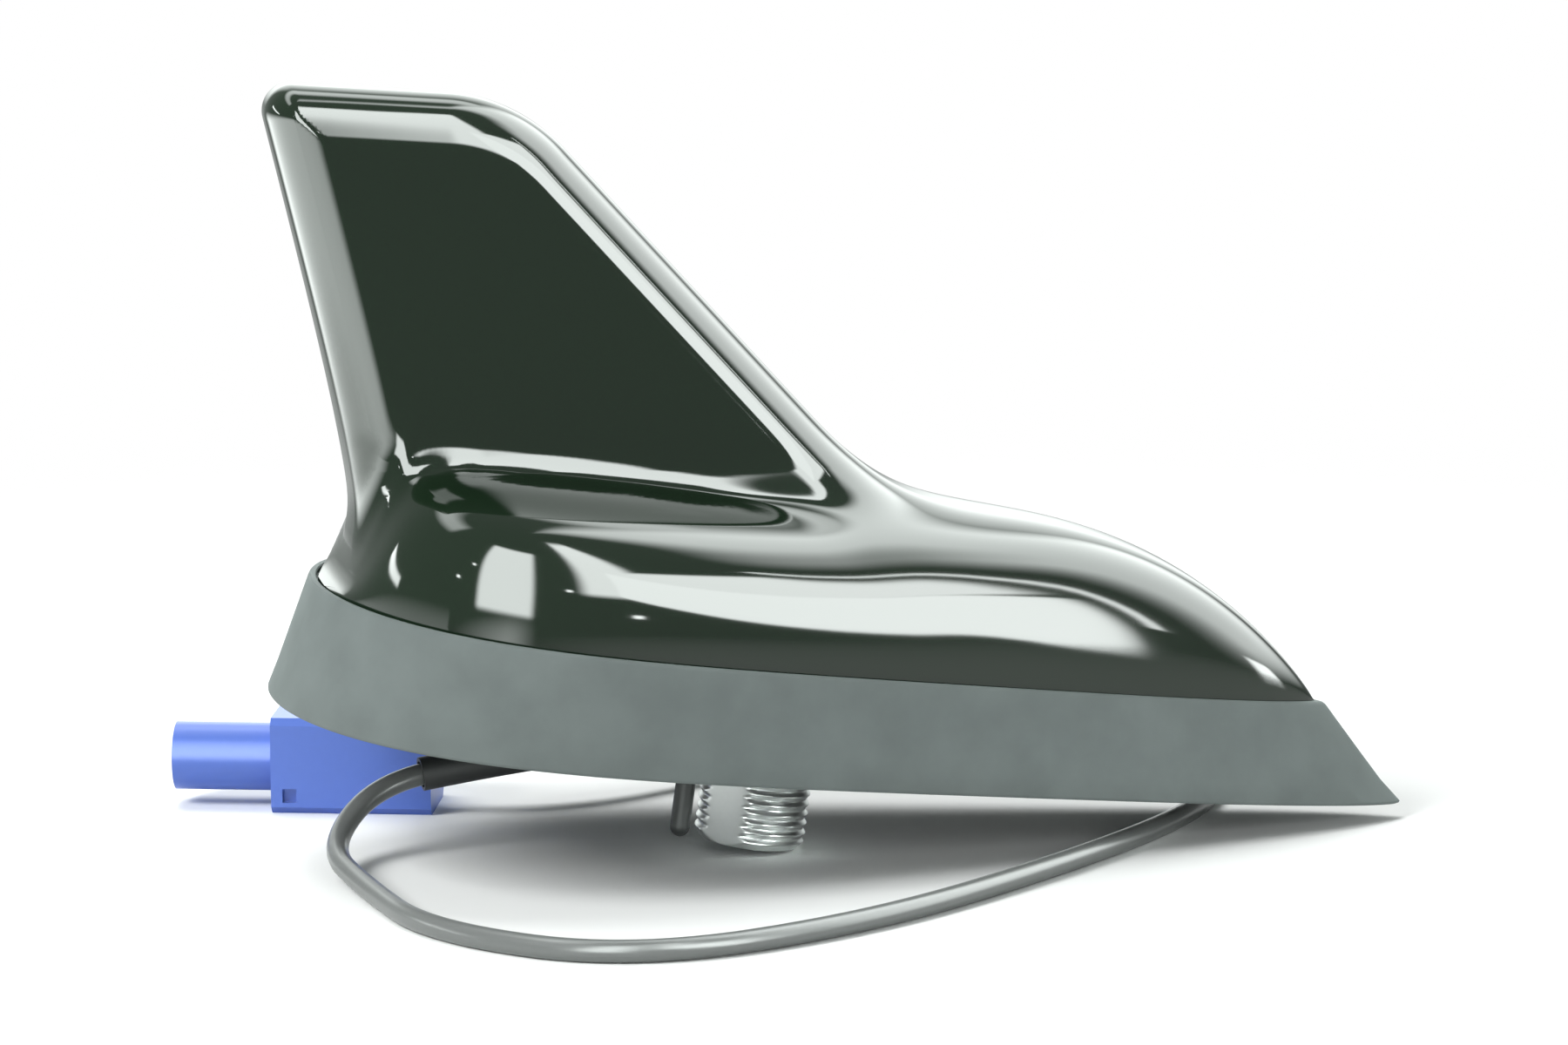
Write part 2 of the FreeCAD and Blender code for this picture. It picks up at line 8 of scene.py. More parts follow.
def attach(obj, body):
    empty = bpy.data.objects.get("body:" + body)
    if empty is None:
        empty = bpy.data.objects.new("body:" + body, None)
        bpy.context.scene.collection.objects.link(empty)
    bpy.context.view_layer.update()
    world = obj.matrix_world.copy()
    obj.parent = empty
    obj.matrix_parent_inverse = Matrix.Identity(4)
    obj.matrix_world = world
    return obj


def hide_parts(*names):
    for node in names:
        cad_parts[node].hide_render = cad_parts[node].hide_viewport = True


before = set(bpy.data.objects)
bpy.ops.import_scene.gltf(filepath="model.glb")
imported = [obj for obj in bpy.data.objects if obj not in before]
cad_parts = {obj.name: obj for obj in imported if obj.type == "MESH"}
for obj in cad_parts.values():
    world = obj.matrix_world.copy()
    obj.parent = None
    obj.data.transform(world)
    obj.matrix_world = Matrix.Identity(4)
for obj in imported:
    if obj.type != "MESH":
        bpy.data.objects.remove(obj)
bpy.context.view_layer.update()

bl_info = {
    "name": "Roof antenna",
    "version": (1, 0, 0),
    "blender": (4, 5, 0),
    "location": "View3D > Sidebar > Antenna",
    "description": "Builds the looks of a shark-fin roof antenna on its packed frame",
    "category": "Object",
}

MM = 0.001

# Sizes in millimetres, shared with the part's source
GASKET = {
    "rear": -62.7, "nose": 84.1, "half": 31.9, "rear_lean": 3.4, "nose_lean": 12.0, "side_lean": 1.0,
    "nose_in_low": 2.6, "nose_in_high": 1.6,
}
GASKET_TOP = {"rear": 15.3, "slope": -0.0215}
SEAT_DEPTH = 0.7
FLANGE_BOTTOM = 8.0
PLAN = (3.3616, -3.8825, 1.8415, 0.3164)
PLAN_NOSE_POWER = 0.8
RIM_INSET = 1.2
RIM_REAR = GASKET["rear"] + GASKET["rear_lean"] + RIM_INSET
RIM_NOSE = GASKET["nose"] - GASKET["nose_lean"] - RIM_INSET
RIM_HALF = GASKET["half"] - GASKET["side_lean"] - RIM_INSET
DOME = {
    "power": 3.0, "crest": (194.8, -608.9, 919.5, -403.9), "nose_power": 0.9, "height": 18.8, "nose_share": 1.8,
    "shoulder": 0.24, "soft": 0.06, "flare": 4.5, "least_slope": 0.02, "above_share": 0.6,
}
FIN = {
    "top": 77.5, "top_x": -49.4, "top_slope": 0.055, "lead_x": -31.5, "lead_z": 69.4, "lead_angle": 40.2,
    "trail_x": -52.0, "trail_z": 22.0, "trail_slope": 0.4, "trail_bow": 14.0, "half_low": 9.3, "half_high": 7.4,
    "thin_from": 35.0, "thin_over": 40.0, "edge": 6.6, "front_corner": 22.0, "rear_corner": 3.5,
    "fillet_side": 6.0, "fillet_front": 13.0, "fillet_rear": 8.0, "fillet_low": 0.5, "fillet_fade": 6.0,
    "front_from": -14.0, "front_over": 22.0, "rear_from": -42.0, "rear_over": 8.0,
}
COVER_WALL = 2.2
PROBE = 0.02

# Planes of the cover's rings: where their slope changes, how many lie in each stretch, and their search lines
RING_SLOPE = {"low_from": 14.0, "low_over": 13.0, "foot": 0.11, "high_from": 66.0, "high_over": 12.0}
RING_KNOTS = (16.2, 24.0, 37.0, 66.0)
RING_SHARES = (0.06, 0.16, 0.36, 0.18, 0.06)
RING_TOP = {"share": 0.18, "left_open": 0.06}
RING_SEARCH = {"x": -25.0, "lean": 0.8, "lean_from": 38.0, "rear": 20.0, "step": 0.5, "steps": 240, "side": 45.0}
HALVINGS = 36

# Section of the gasket, from the inner edge round the foot and the skirt to the seat: inset, share of the lean,
# lift, share of the top's height
SEAT_IN = RIM_INSET - 0.3
FLANGE_IN = RIM_INSET + 3.6
GASKET_SECTION = (
    (5.0, 0.0, FLANGE_BOTTOM, 0.0), (5.0, 0.0, 0.25, 0.0), (4.75, 0.0, 0.0, 0.0), (3.1, 0.0, 0.0, 0.0),
    (2.9, 0.0, 0.25, 0.0), (2.9, 0.0, 1.6, 0.0), (1.5, 0.0, 1.6, 0.0), (1.5, 0.0, 0.25, 0.0),
    (1.3, 0.0, 0.0, 0.0), (0.45, 0.0, 0.0, 0.0), (0.2, 0.0, 0.06, 0.0), (0.05, 0.0, 0.22, 0.0),
    (0.0, 0.0, 0.5, 0.0), (0.0, 0.25, 0.0, 0.25), (0.0, 0.5, 0.0, 0.5), (0.0, 0.75, 0.0, 0.75),
    (0.0, 0.965, 0.0, 0.965), (0.05, 0.985, 0.0, 0.985), (0.16, 0.997, 0.0, 0.997), (0.35, 1.0, 0.0, 1.0),
    (SEAT_IN - 0.15, 1.0, 0.0, 1.0), (SEAT_IN, 1.0, -0.15, 1.0), (SEAT_IN, 1.0, -SEAT_DEPTH, 1.0),
    (FLANGE_IN, 1.0, -SEAT_DEPTH, 1.0), (FLANGE_IN, 1.0, FLANGE_BOTTOM, 0.0),
)

# Stud, in metres and radians
STUD_SIZES = {
    "Radius": 7.0 * MM, "Foot": -12.5 * MM, "Top": 0.3 * MM, "Chamfer": 0.9 * MM, "Flat": 6.1 * MM,
    "Flat Angle": math.radians(225.0), "Flat Top": -0.6 * MM, "Neck": 6.2 * MM, "Head Width": 18.0 * MM,
    "Head From": 2.5 * MM, "Head To": 4.5 * MM, "Pitch": 1.25 * MM, "Depth": 0.4 * MM,
}
GROOVE_RAMP = (1.3, -0.15)
LEAST_FACING = 0.05
MERGE_DISTANCE = 1e-6

# Surface that the loose lead and the connector lie on
TABLE_ANGLE = 8.0
TABLE_TOUCH = (7.0, -12.5)
LEAD_RADIUS = 1.4

# View of the photograph, fitted to the outline
VIEW = {"turn": -12.0, "rise": 8.949, "roll": 7.71, "distance": 902.5, "right": -0.9, "up": 27.99, "lens": 164.376}
SENSOR_WIDTH = 36.0

# Finishes: material's name, colour, roughness, metallic, grain's scale, mottling, bump, specular level
FINISHES = {
    "gasket": ("Grey rubber", (0.135, 0.157, 0.153), 0.62, 0.0, 140.0, 0.45, 0.08, 0.12),
    "stud": ("Bright zinc", (0.6, 0.62, 0.615), 0.36, 1.0, 1500.0, 0.06, 0.05, 0.5),
    # Lead: the black jacket's colour, lightened to grey by a painted sheen that stands in for the highlight along its
    # top.
    "lead": ("Cable jacket with painted sheen", (0.14, 0.15, 0.146), 0.28, 0.0, 1200.0, 0.1, 0.06, 0.5),
    "screw": ("Zinc screws", (0.6, 0.6, 0.6), 0.3, 1.0, 1500.0, 0.08, 0.05, 0.5),
    "tinned": ("Tinned sheet", (0.7, 0.71, 0.71), 0.32, 1.0, 800.0, 0.08, 0.06, 0.5),
    "brass": ("Gilded brass", (0.76, 0.58, 0.26), 0.25, 1.0, 1500.0, 0.06, 0.04, 0.5),
    "rubber": ("Black rubber", (0.018, 0.02, 0.02), 0.55, 0.0, 900.0, 0.12, 0.1, 0.5),
    "base": ("Black moulding", (0.02, 0.023, 0.022), 0.5, 0.0, 1100.0, 0.12, 0.2, 0.5),
    "board": ("Solder mask", (0.02, 0.12, 0.06), 0.35, 0.0, 500.0, 0.12, 0.05, 0.5),
    "tape": ("Foam tape", (0.8, 0.8, 0.78), 0.8, 0.0, 1500.0, 0.12, 0.3, 0.5),
    "ceramic": ("Fired ceramic", (0.55, 0.45, 0.33), 0.6, 0.0, 1200.0, 0.12, 0.15, 0.5),
    "silver": ("Printed silver", (0.8, 0.8, 0.78), 0.4, 1.0, 1200.0, 0.06, 0.08, 0.5),
    "blue": ("Blue moulding", (0.065, 0.13, 0.46), 0.34, 0.0, 900.0, 0.06, 0.06, 0.5),
    "white": ("White insulator", (0.85, 0.85, 0.83), 0.4, 0.0, 900.0, 0.04, 0.15, 0.5),
}

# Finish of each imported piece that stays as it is; screws are found by name
PIECE_FINISHES = {
    "base_plate": "base", "circuit_board": "board", "patch_tape": "tape", "patch_ceramic": "ceramic",
    "patch_electrode": "silver", "connector_housing": "blue", "connector_insulator": "white",
    "shield_can": "tinned", "board_terminal": "tinned", "crimp_ferrule": "tinned",
    "patch_feed_pin": "brass", "connector_pin": "brass", "connector_shell": "brass",
    "cable_sleeve": "rubber", "cable_grommet": "rubber", "cable_tail": "rubber",
}

# Lamps: name, place, target, width, depth, power
LAMPS = (
    ("Overhead", (-0.15, 0.22, 0.55), (0.0, 0.0, 0.0), 0.5, 0.35, 3.0),
    ("Front fill", (0.25, -0.72, 0.3), (0.02, 0.0, 0.02), 0.6, 0.4, 2.1),
    ("Left key", (-0.65, -0.25, 0.4), (-0.02, 0.0, 0.0), 0.35, 0.35, 6.0),
)
FLOOR_STEPS = 96
FLOOR_FADE = (0.4, 0.98)

# Studio that polished pieces mirror. Its windows: turn from and to, rise from and to, in degrees, rise per degree of
# turn, softness of the edges in degrees, brightness. The seam is the middle of the turn's range.
ROOM_SEAM = 35.0
ROOM_DARK = 0.5
ROOM_FILL = 0.22
ROOM_TINT = (0.95, 1.0, 0.98, 1.0)
ROOM_WINDOWS = (
    (-74.0, -38.3, 21.0, 50.0, -0.76, 2.0, 20.0),
    (-72.0, -38.3, 24.0, 50.0, 0.0, 3.0, 18.0),
    (-85.5, -61.0, 17.0, 82.0, 0.0, 6.0, 18.0),
    (-37.4, -35.2, 8.0, 54.0, 0.0, 0.8, 18.0),
    (-34.0, 71.0, -8.0, 66.0, 0.33, 20.0, 10.0),
    (40.0, 125.0, -10.0, 60.0, 0.0, 25.0, 3.2),
    (40.0, 195.0, 48.0, 72.0, 0.0, 10.0, 6.5),
    (-25.0, -16.0, -6.0, 9.0, 0.0, 2.5, 22.0),
    (-131.0, -99.0, -5.0, 62.0, 0.0, 4.0, 17.0),
    (112.0, 245.0, -60.0, -3.0, 0.0, 20.0, 8.3),
    (-160.0, -95.0, -70.0, -12.0, 0.25, 18.0, 8.5),
    (146.0, 176.0, 8.0, 15.0, -0.45, 2.5, 16.0),
    (-143.6, -140.4, 11.4, 14.6, 0.0, 1.2, 30.0),
    (-135.6, -132.4, 27.4, 30.6, 0.0, 1.2, 30.0),
    (-88.6, -85.4, 20.4, 23.6, 0.0, 1.2, 30.0),
    (-70.6, -67.4, 3.4, 6.6, 0.0, 1.2, 30.0),
)


def table_height(x):
    """Height of the surface under the stud's foot, in millimetres."""
    return TABLE_TOUCH[1] + math.tan(math.radians(TABLE_ANGLE)) * (x - TABLE_TOUCH[0])


def lying(x, y, lift=0.0):
    """Point of the lead's centre line that lies on the surface."""
    return (x, y, table_height(x) + LEAD_RADIUS / math.cos(math.radians(TABLE_ANGLE)) + lift)


# Connector's place, and the lead's route from the grommet to it
EXIT = Vector((-19.5, 8.0, -3.55))
EXIT_ANGLE = math.radians(40.0)
EXIT_LINE = Vector((math.cos(EXIT_ANGLE), 0.0, math.sin(EXIT_ANGLE)))
PLUG_TURN = math.radians(164.6)
PLUG_UP = Vector((-math.sin(math.radians(TABLE_ANGLE)), 0.0, math.cos(math.radians(TABLE_ANGLE))))
PLUG_FLAT = Vector((math.cos(PLUG_TURN), math.sin(PLUG_TURN), 0.0))
PLUG_AXIS = (PLUG_FLAT - PLUG_UP * PLUG_FLAT.dot(PLUG_UP)).normalized()
PLUG_PLACE = (-34.7, 31.6)
PLUG_HALF_HEIGHT = 6.25
PLUG_REAR = 2.0
PLUG_CENTRE = Vector((*PLUG_PLACE, table_height(PLUG_PLACE[0]))) + PLUG_UP * PLUG_HALF_HEIGHT
LEAD_END = PLUG_CENTRE - PLUG_AXIS * PLUG_REAR
LEAD_IN_GROMMET = 6.4
LEAD_STRAIGHT = 15.0
LEAD_STEPS = 24
LEAD_ROUND = 8
LEAD_POINTS = [
    EXIT + EXIT_LINE * LEAD_IN_GROMMET,
    EXIT,
    (-33.0, 7.6, -7.0),
    (-47.0, 6.5, -11.0),
    (-53.5, -2.0, -18.2),
    lying(-50.5, -18.0),
    lying(-46.0, -42.0),
    lying(-25.0, -60.0),
    lying(6.0, -48.0),
    lying(36.8, -21.3),
    lying(59.0, 3.0),
    lying(68.0, 26.0),
    lying(56.0, 46.0),
    lying(30.0, 50.0),
    lying(6.0, 41.0, 1.5),
    LEAD_END - PLUG_AXIS * LEAD_STRAIGHT,
    LEAD_END,
]


# Shapes

def plan(s):
    """Half width of the teardrop plan, 0 at its rear end to 1 at the nose."""
    s = np.clip(s, 0.0, 1.0)
    a, b, c, d = PLAN
    return np.sqrt(s) * (1 - s) ** PLAN_NOSE_POWER * (a + b * s + c * s * s + d * s ** 3)


def gasket_top(x):
    """Height of the gasket's top edge."""
    return GASKET_TOP["rear"] + GASKET_TOP["slope"] * (x - GASKET["rear"])


def dome_share(x, depth):
    """Place along the dome, 0 at its rear end to 1 at its nose."""
    rear = RIM_REAR + depth
    nose = RIM_NOSE - DOME["nose_share"] * depth
    return np.clip((x - rear) / (nose - rear), 0.001, 0.999)


def dome_crest(x, depth):
    """Height of the dome's crest over the gasket's top."""
    off = dome_share(x, depth) - DOME["shoulder"]
    s = np.minimum(DOME["shoulder"] + (off + np.hypot(off, DOME["soft"])) / 2, 0.999)
    a, b, c, d = DOME["crest"]
    back = s * (1 - s) ** DOME["nose_power"] * (a + b * s + c * s * s + d * s ** 3)
    flare = (np.maximum(x - RIM_REAR - depth, 0.1) / DOME["flare"]) ** 3
    return back * flare / (1 + flare) * (1 - depth / DOME["height"])


def dome_level(x, y, z, depth):
    """1 on the dome, less inside."""
    half = (RIM_HALF - depth) * plan(dome_share(x, depth))
    rise = np.maximum(z - gasket_top(x), 0.0) / dome_crest(x, depth)
    n = DOME["power"]
    return (np.abs(y / half) ** n + rise ** n) ** (1 / n)


def dome_gap(x, y, z, depth):
    """Distance to the dome, close to the surface."""
    e = PROBE
    gx = (dome_level(x + e, y, z, depth) - dome_level(x - e, y, z, depth)) / (2 * e)
    gy = (dome_level(x, y + e, z, depth) - dome_level(x, y - e, z, depth)) / (2 * e)
    gz = (dome_level(x, y, z + e, depth) - dome_level(x, y, z - e, depth)) / (2 * e)
    steep = np.maximum(np.sqrt(gx * gx + gy * gy + gz * gz), DOME["least_slope"])
    reach = (dome_level(x, y, z, depth) - 1) / steep
    above = DOME["above_share"] * (z - gasket_top(x) - dome_crest(x, depth))
    beyond = np.maximum(RIM_REAR + depth - x, x - RIM_NOSE + DOME["nose_share"] * depth)
    near = np.maximum(reach, above)
    return np.where(beyond > 0, np.maximum(near, beyond), near)


def corner(a, b, radius, turn):
    """Distance to a corner of two edges with a round of the given radius."""
    u = a + radius
    v = b + radius
    inside = (u > v * np.cos(turn)) & (v > u * np.cos(turn))
    far = np.sqrt(np.maximum(u * u + v * v - 2 * u * v * np.cos(turn), 0.0)) / np.sin(turn) - radius
    return np.where(inside, far, np.maximum(a, b))


def fin_gap(x, y, z):
    """Distance to the fin, a slab with rounded edges that thins towards its top."""
    angle = math.radians(FIN["lead_angle"])
    top_angle = math.atan(FIN["top_slope"])
    top = (z - FIN["top"] - FIN["top_slope"] * (x - FIN["top_x"])) * math.cos(top_angle)
    lead_x = FIN["lead_x"] + (FIN["lead_z"] - z) / math.tan(angle)
    lead = (x - lead_x) * math.sin(angle)
    rise = z - FIN["trail_z"]
    reach = np.hypot(rise, FIN["trail_bow"])
    lean = np.arctan(FIN["trail_slope"] * (rise / reach + 1) / 2)
    trail = (FIN["trail_x"] - FIN["trail_slope"] * (reach + rise) / 2 - x) * np.cos(lean)
    edge = corner(top, lead, FIN["front_corner"], angle + top_angle)
    edge = corner(edge, trail, FIN["rear_corner"], math.pi / 2 + lean - top_angle)
    share = np.clip((z - FIN["thin_from"]) / FIN["thin_over"], 0.0, 1.0)
    half = FIN["half_low"] + (FIN["half_high"] - FIN["half_low"]) * share
    u = edge + FIN["edge"]
    v = np.abs(y) - (half - FIN["edge"])
    return np.hypot(np.maximum(u, 0), np.maximum(v, 0)) + np.minimum(np.maximum(u, v), 0) - FIN["edge"]


def skin_gap(x, y, z, depth):
    """Distance to the cover's skin, or to a copy of it at a depth; negative inside."""
    a = dome_gap(x, y, z, depth)
    b = fin_gap(x, y, z) + depth
    share = np.clip((x - FIN["front_from"]) / FIN["front_over"], 0.0, 1.0)
    share = share * share * (3 - 2 * share)
    rear = np.clip((FIN["rear_from"] - x) / FIN["rear_over"], 0.0, 1.0)
    reach = FIN["fillet_side"] + (FIN["fillet_front"] - FIN["fillet_side"]) * share
    reach = reach + (FIN["fillet_rear"] - FIN["fillet_side"]) * rear
    fade = np.clip((z - gasket_top(x) - FIN["fillet_low"]) / FIN["fillet_fade"], 0.0, 1.0)
    blend = np.maximum(reach - np.abs(a - b), 0.0) / reach
    return np.minimum(a, b) - fade * blend ** 3 * reach / 6


def find_edge(inside, outside, point, depth):
    """Where the skin lies between values inside it and values outside it."""
    for _ in range(HALVINGS):
        middle = (inside + outside) / 2
        within = skin_gap(*point(middle), depth) < 0
        inside = np.where(within, middle, inside)
        outside = np.where(within, outside, middle)
    return (inside + outside) / 2


def ring_slope(z):
    """Slope of the ring planes along X: the rim's, then the fin's foot line, then the fin's top."""
    low = np.clip((z - RING_SLOPE["low_from"]) / RING_SLOPE["low_over"], 0.0, 1.0)
    slope = GASKET_TOP["slope"] + (RING_SLOPE["foot"] - GASKET_TOP["slope"]) * low * low * (3 - 2 * low)
    high = np.clip((z - RING_SLOPE["high_from"]) / RING_SLOPE["high_over"], 0.0, 1.0)
    return slope + (FIN["top_slope"] - RING_SLOPE["foot"]) * high


def ring_heights(depth, rings):
    """Heights of the ring planes at the stud's axis, closer together where the skin is flat."""
    top = FIN["top"] - FIN["top_slope"] * FIN["top_x"] - depth
    rim = gasket_top(0.0) - SEAT_DEPTH
    knots = [rim, *RING_KNOTS, top - FIN["edge"]]
    heights = [np.array([rim])]
    for start, end, share in zip(knots, knots[1:], RING_SHARES):
        heights.append(np.linspace(start, end, max(int(share * rings), 2) + 1)[1:])
    lift = np.linspace(0, math.pi / 2 - RING_TOP["left_open"], int(RING_TOP["share"] * rings) + 1)[1:]
    heights.append(top - FIN["edge"] * (1 - np.sin(lift)))
    return np.concatenate(heights)


def cover_grid(depth, rings, steps):
    """Ring points of one side of the cover, an array of rings by steps by 3."""
    z0 = ring_heights(depth, rings)
    slope = ring_slope(z0)
    slope[0] = GASKET_TOP["slope"]
    seek = RING_SEARCH
    at = seek["x"] - seek["lean"] * np.maximum(z0 + seek["x"] * slope - seek["lean_from"], 0.0)

    def on_plane(x):
        return x, np.zeros_like(x), z0 + slope * x

    rear = find_edge(at, np.full_like(at, GASKET["rear"] - seek["rear"]), on_plane, depth)
    front = at.copy()
    going = np.ones_like(at, dtype=bool)
    for _ in range(seek["steps"]):
        going &= skin_gap(*on_plane(front), depth) < 0
        front = np.where(going, front + seek["step"], front)
    front = find_edge(front - seek["step"], front, on_plane, depth)
    u = (1 - np.cos(np.pi * np.arange(steps) / (steps - 1))) / 2
    x = rear[:, None] + (front - rear)[:, None] * u[None, :]
    z = z0[:, None] + slope[:, None] * x
    y = find_edge(np.zeros_like(x), np.full_like(x, seek["side"]), lambda t: (x, t, z), depth)
    y[:, 0] = 0.0
    y[:, -1] = 0.0
    return np.stack([x, y, z], axis=2)


def closed_rings(grid):
    """Adds the mirrored side to each ring."""
    back = grid[:, -2:0:-1, :] * np.array([1.0, -1.0, 1.0])
    return np.concatenate([grid, back], axis=1)


def ring_faces(rings, count, start=0, flip=False):
    """Quads between rings of equal count."""
    faces = []
    for r in range(rings - 1):
        for i in range(count):
            j = (i + 1) % count
            a = start + r * count
            quad = (a + i, a + j, a + count + j, a + count + i)
            faces.append(quad[::-1] if flip else quad)
    return faces


def join_faces(count, first, last):
    """Quads from the ring that starts at one index to the ring that starts at another."""
    faces = []
    for i in range(count):
        j = (i + 1) % count
        faces.append((first + i, first + j, last + j, last + i))
    return faces


def cap_faces(count, start, flip=False):
    """Quads across a closed ring that has a mirrored other side."""
    half = count // 2
    faces = [(start, start + 1, start + count - 1)]
    for i in range(1, half - 1):
        faces.append((start + i, start + i + 1, start + count - i - 1, start + count - i))
    faces.append((start + half - 1, start + half, start + half + 1))
    return [f[::-1] for f in faces] if flip else faces


def mesh_object(name, points, faces, smooth=True):
    """New object from points in millimetres."""
    mesh = bpy.data.meshes.new(name)
    mesh.from_pydata([tuple(p) for p in np.asarray(points) * MM], [], faces)
    mesh.validate()
    mesh.update()
    if smooth:
        mesh.shade_smooth()
    obj = bpy.data.objects.new(name, mesh)
    bpy.context.scene.collection.objects.link(obj)
    return obj


def sharpen(obj, degrees):
    """Marks edges sharper than an angle, so that smooth shading stops there."""
    obj.data.set_sharp_from_angle(angle=math.radians(degrees))


# Materials

def feed(tree, socket, value):
    """Links a socket to another one, or sets its number."""
    if isinstance(value, bpy.types.NodeSocket):
        tree.links.new(value, socket)
    else:
        socket.default_value = value


def calc(tree, operation, *values):
    """Math node on sockets or numbers; returns its result."""
    node = tree.nodes.new("ShaderNodeMath")
    node.operation = operation
    for socket, value in zip(node.inputs, values):
        feed(tree, socket, value)
    return node.outputs[0]


def new_material(name):
    """New node material; returns the material, its tree and its shader."""
    mat = bpy.data.materials.new(name)
    mat.use_nodes = True
    tree = mat.node_tree
    return mat, tree, tree.nodes["Principled BSDF"]


def mottle_group():
    """Node group: a colour varied by noise, and a normal with the same noise as grain."""
    name = "Mottle"
    if name in bpy.data.node_groups:
        return bpy.data.node_groups[name]
    group = bpy.data.node_groups.new(name, "ShaderNodeTree")
    face = group.interface
    face.new_socket("Color", in_out="INPUT", socket_type="NodeSocketColor")
    for value in ("Scale", "Amount", "Bump"):
        face.new_socket(value, in_out="INPUT", socket_type="NodeSocketFloat")
    face.new_socket("Color", in_out="OUTPUT", socket_type="NodeSocketColor")
    face.new_socket("Normal", in_out="OUTPUT", socket_type="NodeSocketVector")
    nodes = group.nodes
    links = group.links
    start = nodes.new("NodeGroupInput")
    end = nodes.new("NodeGroupOutput")
    coords = nodes.new("ShaderNodeTexCoord")
    noise = nodes.new("ShaderNodeTexNoise")
    noise.inputs["Detail"].default_value = 6.0
    links.new(coords.outputs["Object"], noise.inputs["Vector"])
    links.new(start.outputs["Scale"], noise.inputs["Scale"])
    swing = calc(group, "SUBTRACT", noise.outputs["Fac"], 0.5)
    swing = calc(group, "MULTIPLY_ADD", swing, start.outputs["Amount"], 1.0)
    tint = nodes.new("ShaderNodeVectorMath")
    tint.operation = "SCALE"
    links.new(start.outputs["Color"], tint.inputs[0])
    links.new(swing, tint.inputs["Scale"])
    links.new(tint.outputs[0], end.inputs["Color"])
    bump = nodes.new("ShaderNodeBump")
    bump.inputs["Distance"].default_value = 0.0002
    links.new(noise.outputs["Fac"], bump.inputs["Height"])
    links.new(start.outputs["Bump"], bump.inputs["Strength"])
    links.new(bump.outputs["Normal"], end.inputs["Normal"])
    return group


def plain_material(finish):
    """Material with mottled colour and fine grain, from the table of finishes."""
    name, color, rough, metal, scale, amount, bump, shine = FINISHES[finish]
    mat, tree, shader = new_material(name)
    mottle = tree.nodes.new("ShaderNodeGroup")
    mottle.node_tree = mottle_group()
    mottle.inputs["Color"].default_value = (*color, 1.0)
    mottle.inputs["Scale"].default_value = scale
    mottle.inputs["Amount"].default_value = amount
    mottle.inputs["Bump"].default_value = bump
    tree.links.new(mottle.outputs["Color"], shader.inputs["Base Color"])
    tree.links.new(mottle.outputs["Normal"], shader.inputs["Normal"])
    shader.inputs["Roughness"].default_value = rough
    shader.inputs["Metallic"].default_value = metal
    shader.inputs["Specular IOR Level"].default_value = shine
    return mat


def gloss_material():
    """Polished black moulding with a faint orange peel."""
    mat, tree, shader = new_material("Gloss black")
    coords = tree.nodes.new("ShaderNodeTexCoord")
    noise = tree.nodes.new("ShaderNodeTexNoise")
    noise.inputs["Scale"].default_value = 90.0
    bump = tree.nodes.new("ShaderNodeBump")
    bump.inputs["Strength"].default_value = 0.012
    bump.inputs["Distance"].default_value = 0.0006
    tree.links.new(coords.outputs["Object"], noise.inputs["Vector"])
    tree.links.new(noise.outputs["Fac"], bump.inputs["Height"])
    tree.links.new(bump.outputs["Normal"], shader.inputs["Normal"])
    shader.inputs["Base Color"].default_value = (0.006, 0.016, 0.007, 1.0)
    shader.inputs["Roughness"].default_value = 0.06
    shader.inputs["IOR"].default_value = 1.5
    return mat


def set_material(obj, mat):
    """One material on the whole object."""
    obj.data.materials.clear()
    obj.data.materials.append(mat)


# Settings

class AntennaSettings(bpy.types.PropertyGroup):
    """Counts and sizes of the looks."""

    rings: bpy.props.IntProperty(
        name="Cover rings", description="Rings that make the cover's skin", default=150, min=20)
    steps: bpy.props.IntProperty(
        name="Ring steps", description="Points along one side of each ring", default=110, min=12)
    thread_pitch: bpy.props.FloatProperty(
        name="Thread pitch", description="Rise of the thread in one turn", default=STUD_SIZES["Pitch"], unit="LENGTH")
    thread_depth: bpy.props.FloatProperty(
        name="Thread depth", description="Depth of the thread's groove", default=STUD_SIZES["Depth"], unit="LENGTH")
    thread_steps: bpy.props.IntProperty(
        name="Thread steps", description="Points round the stud", default=96, min=16)
    thread_levels: bpy.props.IntProperty(
        name="Thread levels", description="Points along the stud", default=110, min=16)
    floor_size: bpy.props.FloatProperty(
        name="Floor radius", description="Reach of the pale floor", default=0.3, unit="LENGTH")


# Operators

class ANTENNA_OT_cover(bpy.types.Operator):
    """Build the fin cover as one smooth skin with an inner wall"""

    bl_idname = "antenna.cover"
    bl_label = "Fin cover"

    def execute(self, context):
        settings = context.scene.antenna
        outer = closed_rings(cover_grid(0.0, settings.rings, settings.steps))
        inner = closed_rings(cover_grid(COVER_WALL, settings.rings // 3, settings.steps))
        count = outer.shape[1]
        points = np.concatenate([outer.reshape(-1, 3), inner.reshape(-1, 3)])
        start = outer.shape[0] * count
        faces = ring_faces(outer.shape[0], count, 0, flip=True)
        faces += cap_faces(count, start - count, flip=True)
        faces += ring_faces(inner.shape[0], count, start)
        faces += cap_faces(count, len(points) - count)
        faces += join_faces(count, 0, start)
        obj = mesh_object("fin_cover_skin", points, faces)
        sharpen(obj, degrees=40.0)
        set_material(obj, gloss_material())
        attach(obj, "root")
        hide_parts("fin_cover")
        return {"FINISHED"}


